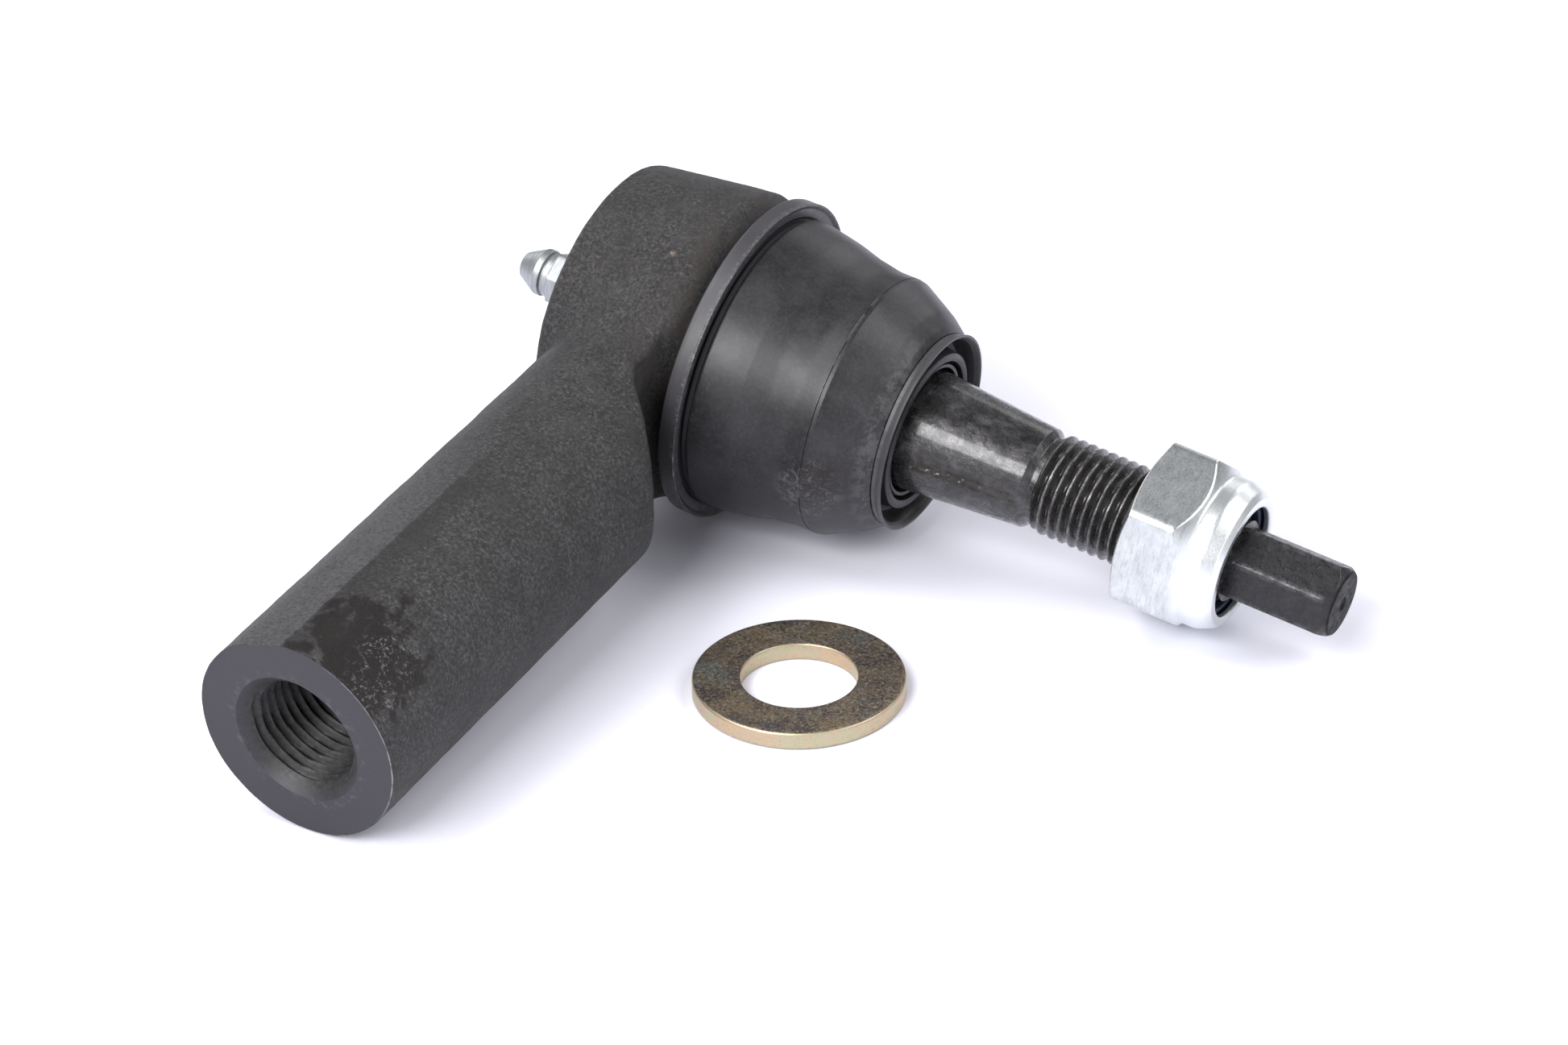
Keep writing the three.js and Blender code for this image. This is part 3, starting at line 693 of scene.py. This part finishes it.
def end_cover_plate(material):
    back, rim, plate = RECESS_BACK_X + GAP, RECESS_R - GAP, 1.5
    outline = rounded([
        (-19.8, 3.4), (-19.8, 5.4, 0.6), (-18.2, 11, 3), (-16.4, 14.2, 0.8), (back, 15.1, 0.4),
        (back, rim, 0.3), (back + plate, rim, 0.3), (back + plate, 14.6, 0.8), (-15.2, 13.5, 0.8),
        (-16.7, 10.5, 3), (-17.9, 6.5, 1), (-17.5, 5), (-17.5, 3.4),
    ])
    return place(lathe("cover_plate", outline, 120), material, "cover_steel", "end_cover_plate", "housing")


def socket_pieces(steel, rubber, acetal):
    """The spring, seal and bearing halves behind and in front of the ball."""
    ball = BALL_R + GAP
    outer = BORE_R - GAP
    spring = rounded([(-17.1, 7.3, 0.2), (-15.75, 12.2, 0.2), (-15.15, 12, 0.2), (-16.5, 7.1, 0.2)])
    rear = rounded([
        (-16.8, 2), (-16.8, 5, 0.5), (-15.6, 7, 0.8), (-14.5, 12.4, 0.8), (-11.4, 13.8, 0.5),
        (-11.4, outer, 0.4), (-0.5, outer, 0.3), *arc(0, ball, 92.1, 171.6, 28),
    ])
    front = rounded([
        (SHOULDER_X - GAP, outer, 0.4), (0.5, outer, 0.3), *arc(0, ball, 87.9, 51.4, 14),
    ])
    slots = 8

    def greased(x, r, angle):
        """Shallow grease grooves along the bearing surface."""
        groove = np.clip(np.cos(slots * angle) * 4 - 3, 0, 1) * 0.5
        return np.where(r < outer - 0.6, r + groove * np.clip((r - 5) / 5, 0, 1), r)

    place(lathe("disc_spring", spring, 96), steel, "spring_steel", "preload_spring", "housing")
    seal = lathe("cover_o_ring", circle(-12.5, 15.3, 0.7), 96)
    place(seal, rubber, "boot_rubber", "cover_seal", "housing")
    place(lathe("rear_seat", rear, 192, greased), acetal, "bearing_acetal", "rear_ball_seat", "housing")
    place(lathe("front_seat", front, 192, greased), acetal, "bearing_acetal", "front_bearing", "housing")


# ---- grease fitting ---------------------------------------------------------------------------------
def grease_fitting(zinc, steel):
    s, head = FITTING_X, 3.35
    outline = finer(rounded([
        (s + 2.6, 1.5), (s + 2.6, 2.7, 0.2), (s + 2.2, 3.1), (s, 3.1), (s, 5), (s - 4.2, 5),
        (s - 4.2, 3.3), (s - 4.6, 3.2), (s - 5.3, 3.2, 0.1), (s - 5.4, 2.9, 0.1),
        (s - 5.6, 2.9, 0.1), (s - 5.75, head, 0.15), (s - 6.7, head, 0.5), (s - 8.9, 2.15, 0.3),
        (s - 9.6, 1.75, 0.25), (s - 9.55, 0.95, 0.1), (s - 9.1, 0.95), (s - 8.6, 1.5),
    ]), 0.15)

    def with_hex(x, r, angle):
        in_hex = (x < s + 0.01) & (x > s - 4.21)
        return np.where(in_hex, soft_min(r, hexagon(angle, 7, 0, 3.95), 0.15), r)

    place(lathe("grease_nipple", outline, 120, with_hex), zinc, "bright_zinc", "grease_fitting", "housing")
    ball = np.array(arc(FITTING_X - 7.3, 1.2, 180, 0, 24))
    check = lathe("nipple_ball", ball, 48, closed=False)
    place(check, steel, "spring_steel", "fitting_check_ball", "check_ball")
    coils, steps = 6.0, 144
    turn = [2 * math.pi * coils * i / steps for i in range(steps + 1)]
    first = FITTING_X - 5.0
    path = [(first + 4.6 * i / steps, 0.92 * math.sin(a), 0.92 * math.cos(a)) for i, a in enumerate(turn)]
    place(tube("nipple_spring", path, 0.16), steel, "spring_steel", "fitting_spring", "housing")


# ---- stud and nut -----------------------------------------------------------------------------------
def ball_stud(oiled, dull):
    taper_start = TAPER_END_R + (TAPER_END_X - TAPER_START_X) * TAPER_SLOPE
    neck_angle = math.degrees(math.asin(NECK_R / BALL_R))
    outline = np.array([
        *arc(0, BALL_R, 180, neck_angle + 2, 64),
        *rounded([
            (13.2, NECK_R, 2), (17, NECK_R, 4), (24, 7, 4), (TAPER_START_X - 1, taper_start - 0.3, 1),
            (TAPER_START_X, taper_start, 0.5), (TAPER_END_X, TAPER_END_R, 0.3),
            (TAPER_END_X + 0.9, 6.2, 0.4), (THREAD_START_X - 0.3, 6.2, 0.2), (THREAD_START_X, THREAD_R),
            (THREAD_END_X - 0.6, THREAD_R, 0.3), (THREAD_END_X + 0.5, 5.6, 0.2),
            (DRIVE_START_X - 0.1, 5.35), (DRIVE_START_X + 0.1, 6), (DRIVE_END_X - 1.7, 6),
            (DRIVE_END_X - 1.6, 5.5, 0.2), (DRIVE_END_X, 4.35, 0.25), (DRIVE_END_X, 1.15, 0.15),
            (DRIVE_END_X - 0.9, 0),
        ], closed=False),
    ])
    plain = outline[:, 0] < THREAD_START_X - 0.6
    outline = np.concatenate([
        finer(outline[plain], 1.0, closed=False), finer(outline[~plain], 0.12, closed=False),
    ])

    def turned_and_cut(x, r, angle):
        screw = thread(x, angle, THREAD_R, THREAD_DEPTH)
        runs = (x > THREAD_START_X - 0.4) & (x < THREAD_END_X + 0.5)
        r = np.where(runs, np.minimum(r, screw), r)
        drive = hexagon(angle, DRIVE_AF, DRIVE_TURN, 5.42)
        return np.where(x > DRIVE_START_X, soft_min(r, drive, 0.1), r)

    stud = lathe("stud", outline, 144, turned_and_cut, closed=False)
    mesh = stud.data
    mesh.materials.append(oiled)
    mesh.materials.append(dull)
    for face in mesh.polygons:
        face.material_index = 1 if face.center.x > DRIVE_START_X else 0
    return place(stud, oiled, "black_oxide", "ball_stud", "stud")


def lock_nut(zinc, nylon):
    back, front = NUT_BACK_X, NUT_BACK_X + NUT_H
    hex_front = back + NUT_HEX_H
    outline = finer(rounded([
        (back, 8.2, 0.2), (back, 10.7, 0.2), (back + 1.0, 12.9), (hex_front - 1.7, 12.9),
        (hex_front + 0.7, NUT_COLLAR_R, 0.7), (front - 2.6, NUT_COLLAR_R, 1.8), (front - 0.7, 9.6, 0.9),
        (front, 8.9, 0.5), (front, 7.75, 0.3), (front - 0.9, 7.75, 0.2), (front - 0.9, 9.2),
        (front - 4, 9.2), (front - 4, NUT_BORE_R + 0.1), (back + 1, NUT_BORE_R + 0.1),
    ]), 0.14)

    def six_sided(x, r, angle):
        body = hexagon(angle, NUT_AF, NUT_TURN, 12.55)
        cut = thread(x, angle, NUT_BORE_R + 0.75, 0.65)
        threaded = (r < NUT_BORE_R + 0.2) & (x < front - 4)
        return np.where(threaded, np.maximum(r, cut), soft_min(r, body, 0.22))

    place(lathe("nut", outline, 192, six_sided), zinc, "bright_zinc", "lock_nut", "nut")
    ring = rounded([
        (front - 3.7, NUT_BORE_R, 0.2), (front - 3.7, 8.9, 0.2), (front - 1.2, 8.9, 0.2),
        (front - 1.2, NUT_BORE_R, 0.4),
    ])
    insert = lathe("nylon_ring", ring, 96)
    place(insert, nylon, "blue_nylon", "nut_nylon_insert", "nut_carrier")


# ---- rubber boot ------------------------------------------------------------------------------------
def boot(rubber, steel):
    inner = NOSE_R + GAP + 0.05
    slot = 21.3
    flange = rounded([
        (RING_BACK_X, inner), (RING_BACK_X, RING_R - 0.1, 0.25), (RING_BACK_X + 0.7, RING_R - 0.06, 0.4),
        (RING_FRONT_X - 0.4, RING_R - 0.06, 0.2), (RING_FRONT_X, RING_R, 0.12),
        (RING_FRONT_X - 0.05, RING_R - 0.35, 0.1), (RING_FRONT_X - 0.35, RING_R - 0.8, 0.3),
        (RING_FRONT_X - 0.45, 20.9, 0.3), (RING_FRONT_X - 0.75, 20.5, 0.2), (RING_FRONT_X - 0.75, 19.4, 0.3),
        (RING_FRONT_X, 18.9, 0.3), (RING_FRONT_X, inner, 0.2), (RING_FRONT_X - GAP, inner),
        (RING_FRONT_X - 0.85, inner + 0.2), (RING_FRONT_X - 1.0, slot - 0.6),
        (RING_BACK_X + 0.6, slot - 0.3), (RING_BACK_X + 0.6, inner),
    ])
    place(lathe("boot_flange", flange, 192), rubber, "boot_rubber", "boot_base_ring", "housing")
    insert = rounded([
        (6.8, NOSE_R + 0.6, 0.2), (6.8, 20.5, 0.2), (7.3, 20.5, 0.2), (7.3, NOSE_R + 0.6, 0.2),
    ])
    place(lathe("flange_insert", insert, 96), steel, "cover_steel", "boot_base_insert", "housing")
    gap_angle = math.radians(8)
    round_clip = np.linspace(gap_angle, 2 * math.pi - gap_angle, 120)
    path = [(9.6, (NOSE_R + 0.85) * math.sin(a), (NOSE_R + 0.85) * math.cos(a)) for a in round_clip]
    place(tube("flange_clip", path, 0.48), steel, "spring_steel", "boot_base_clip", "housing")

    sleeve = rounded([
        (8.5, 19.2), (8.1, 19.9, 0.2), (8.15, 20.2, 0.15), (8.9, 20.3, 0.4), (9.3, 20.96, 0.5),
        (12.6, 20.45, 3), (15.2, 20.0, 4), (18.7, 19.1, 10), (22.4, 18.5, 8),
        (RIDGE_X - 0.05, RIDGE_R - 0.08, 0.05), (RIDGE_X - 0.05, RIDGE_R - WALL), (22.4, 16.6, 5),
        (18.7, 17.1, 5), (12.9, 18.4, 3), (9.2, 19.0, 0.5),
    ])
    skin = lathe("boot_sleeve_skin", finer(sleeve, 0.6), 168, sharp_angle=60)
    place(skin, rubber, "boot_rubber", "boot_sleeve", None)
    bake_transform(skin)
    cone = rounded([
        (RIDGE_X, RIDGE_R - 0.13, 0.05), (25.95, 18.4, 0.25),
        (28.4, 17.18, 4), (31.0, 15.85, 4), (32.9, 14.5, 1.5), (LIP_BACK_X + 0.1, 13.85, 0.2),
        (LIP_BACK_X + 0.1, 13.3), (26.5, 16.5, 1), (RIDGE_X, RIDGE_R - WALL),
    ])
    skin = lathe("boot_cone_skin", finer(cone, 0.6), 168, sharp_angle=60)
    place(skin, rubber, "boot_rubber", "boot_cone", None)
    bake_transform(skin)

    stud_r = TAPER_END_R + (TAPER_END_X - LIP_BACK_X + 2) * TAPER_SLOPE + GAP
    lip = rounded([
        (31.6, stud_r, 0.3), (31.6, 11.6, 0.4), (32.6, 12.8, 0.3), (LIP_BACK_X + 0.15, 13.1),
        (LIP_BACK_X + 0.15, 13.7, 0.1), (34.2, 13.72, 0.6), (34.85, 14.0, 0.3), (LIP_FRONT_X, LIP_R, 0.08),
        (LIP_FRONT_X, 13.74, 0.1), (34.5, 13.2, 0.4), (33.2, 12.75, 0.3), (32.3, 12.35, 0.3),
        (32.3, 11.5, 0.2), (34.5, 11.2, 0.15), (34.75, 10.65, 0.2), (34.55, 10.05, 0.15), (32.9, 9.95, 0.1),
        (32.9, 9.6, 0.1), (34.2, 9.5, 0.12), (34.15, stud_r, 0.15),
    ])
    place(lathe("boot_lip", lip, 168), rubber, "boot_rubber", "boot_lip_seal", "boot_collar")
    insert = rounded([(31.9, 10.3, 0.15), (31.9, 10.9, 0.15), (33.6, 10.9, 0.15), (33.6, 10.3, 0.15)])
    place(lathe("lip_insert", insert, 96), steel, "cover_steel", "boot_lip_insert", "boot_collar")


# ---- loose washer -----------------------------------------------------------------------------------
def flat_washer(flat, edge):
    outline = rounded([
        (0, WASHER_HOLE_R + 0.1, 0.12), (0, WASHER_R, 0.3), (WASHER_T, WASHER_R - 0.02, 0.5),
        (WASHER_T, WASHER_HOLE_R, 0.35),
    ])
    washer = lathe("washer", finer(outline, 0.5), 192)
    mesh = washer.data
    mesh.materials.append(flat)
    mesh.materials.append(edge)
    for face in mesh.polygons:
        face.material_index = 0 if abs(face.normal.x) > 0.75 else 1
    middle = (WASHER_LOW + WASHER_HIGH) / 2
    upright = Matrix.Translation((middle.x, middle.y, WASHER_LOW.z)) @ Matrix.Rotation(-math.pi / 2, 4, "Y")
    place(washer, flat, "yellow_zinc", "flat_washer", "washer", upright @ Matrix.Scale(MM, 4))


# ---- studio -----------------------------------------------------------------------------------------
def camera():
    """At the photograph's viewing angle: 30.6 degrees down, turned a little about its own axis."""
    target = Vector((-0.02004, 0.03531, 0.0))
    place = Vector((0.26072, -0.45019, 0.33159))
    back = (place - target).normalized()
    right = Vector((0, 0, 1)).cross(back).normalized()
    up = back.cross(right)
    roll = math.radians(-0.894)
    across = right * math.cos(roll) + up * math.sin(roll)
    upward = up * math.cos(roll) - right * math.sin(roll)
    made = bpy.data.objects.new("camera", bpy.data.cameras.new("camera"))
    made.matrix_world = Matrix.Translation(place) @ Matrix((across, upward, back)).transposed().to_4x4()
    made.data.lens = 108.4
    made.data.clip_start = 0.01
    bpy.context.scene.collection.objects.link(made)
    bpy.context.scene.camera = made


def softbox(name, azimuth, elevation, power):
    """A square softbox 0.9 m away, aimed at the part; angles in degrees, azimuth 0 along +X."""
    side, up = math.radians(azimuth), math.radians(elevation)
    away = Vector((math.cos(side) * math.cos(up), math.sin(side) * math.cos(up), math.sin(up)))
    light = bpy.data.lights.new(name, "AREA")
    light.shape = "SQUARE"
    light.size = 0.4
    light.energy, light.color = power, (0.985, 0.985, 1.0)
    made = bpy.data.objects.new(name, light)
    made.location = Vector((-0.01, 0.0, 0.01)) + away * 0.9
    made.rotation_euler = (-away).to_track_quat("-Z", "Y").to_euler()
    bpy.context.scene.collection.objects.link(made)


def studio():
    n = Nodes("studio_floor", Roughness=0.9, Specular_IOR_Level=0.2)
    cloth = n.noise(0.02, 2, 0.5)
    floor_colour = n.ramp(cloth, [(0.3, (0.835, 0.835, 0.925)), (0.7, (0.85, 0.85, 0.935))])
    n.finish(floor_colour)
    reach = 3.0
    corners = [(-reach, -reach, 0), (reach, -reach, 0), (reach, reach, 0), (-reach, reach, 0)]
    floor = make_object("floor", corners, [(0, 1, 2, 3)])
    floor.location.z = -0.0001
    floor.data.materials.append(n.material)
    world = bpy.data.worlds.new("studio")
    world.use_nodes = True
    world.node_tree.nodes["Background"].inputs["Color"].default_value = (0.95, 0.95, 1.0, 1)
    world.node_tree.nodes["Background"].inputs["Strength"].default_value = 0.3
    bpy.context.scene.world = world
    softbox("key", -90, 38, 6.85)
    softbox("left", -120, 38, 2.4)
    softbox("high_left", -150, 62, 3.5)
    softbox("right", 0, 38, 1.25)
    softbox("back_right", 30, 48, 2.5)
    softbox("back", 85, 26, 1.1)
    softbox("low_front", -90, 14, 0.5)
    softbox("low_right", -30, 14, 0.9)
    softbox("left_back", 148, 30, 1.2)
    bpy.context.scene.view_settings.view_transform = "Standard"


# ---- the whole object -------------------------------------------------------------------------------
def main():
    camera()
    studio()
    rubber = boot_rubber()
    zinc, turned = bright_zinc(), turned_zinc()
    cover = plain_steel("cover_steel", (0.10, 0.095, 0.09), (0.22, 0.21, 0.20), 0.38)
    spring = plain_steel("spring_steel", (0.16, 0.155, 0.15), (0.32, 0.31, 0.30), 0.28)
    acetal = moulded_plastic("bearing_acetal", (0.62, 0.59, 0.50), (0.72, 0.69, 0.60), 0.4)
    nylon = moulded_plastic("blue_nylon", (0.010, 0.018, 0.045), (0.018, 0.030, 0.070), 0.38)
    housing(forged_black(), machined_black())
    end_cover_plate(cover)
    socket_pieces(spring, rubber, acetal)
    grease_fitting(turned, spring)
    ball_stud(black_oxide(), black_oxide("black_oxide_dull", oil=0.1))
    lock_nut(zinc, nylon)
    boot(rubber, cover)
    flat_washer(yellow_zinc(), yellow_zinc("yellow_zinc_edge", flat=False))


main()
